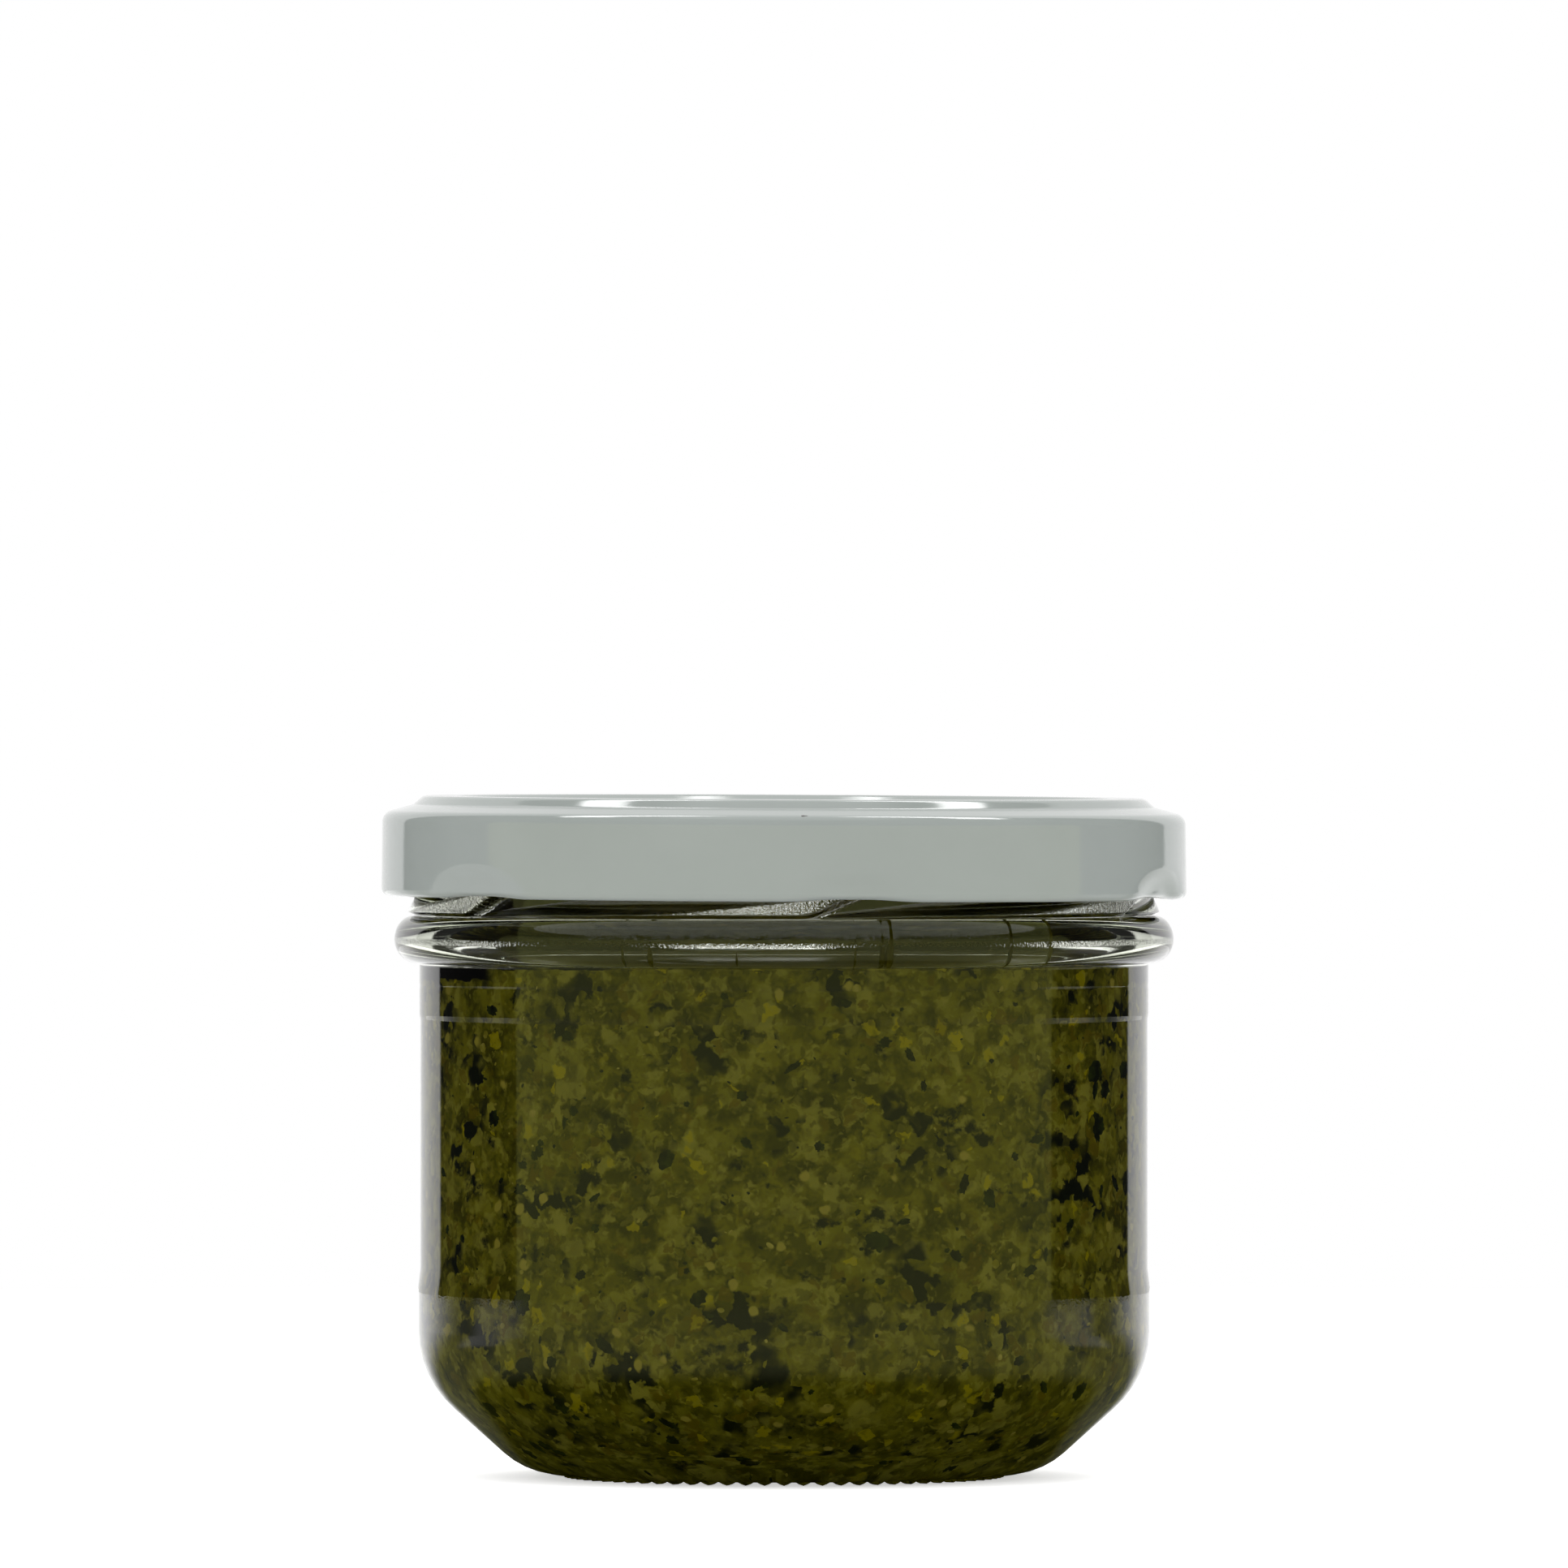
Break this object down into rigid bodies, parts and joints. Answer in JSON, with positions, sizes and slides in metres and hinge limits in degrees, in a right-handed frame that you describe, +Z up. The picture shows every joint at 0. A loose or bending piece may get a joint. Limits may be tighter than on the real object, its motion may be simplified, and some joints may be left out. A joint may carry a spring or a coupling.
{
  "type": "jar of pesto",
  "caption": "Round tapered glass jar with a pressed steel lug lid, filled with green basil pesto up to the neck.",
  "frame": {"origin": "centre of the ring that the jar stands on, on the table", "axes": "+Z up along the jar's axis, -Y to the front, +X to the right"},
  "size_m": [0.0854, 0.0854, 0.0721],
  "materials": {
    "glass": "clear, smooth",
    "lid_enamel": "glossy enamel",
    "pesto": "wet, coarse paste"
  },
  "bodies": {
    "root": {"glass_jar": "glass", "lid": "lid_enamel", "pesto": "pesto"}
  },
  "joints": []
}
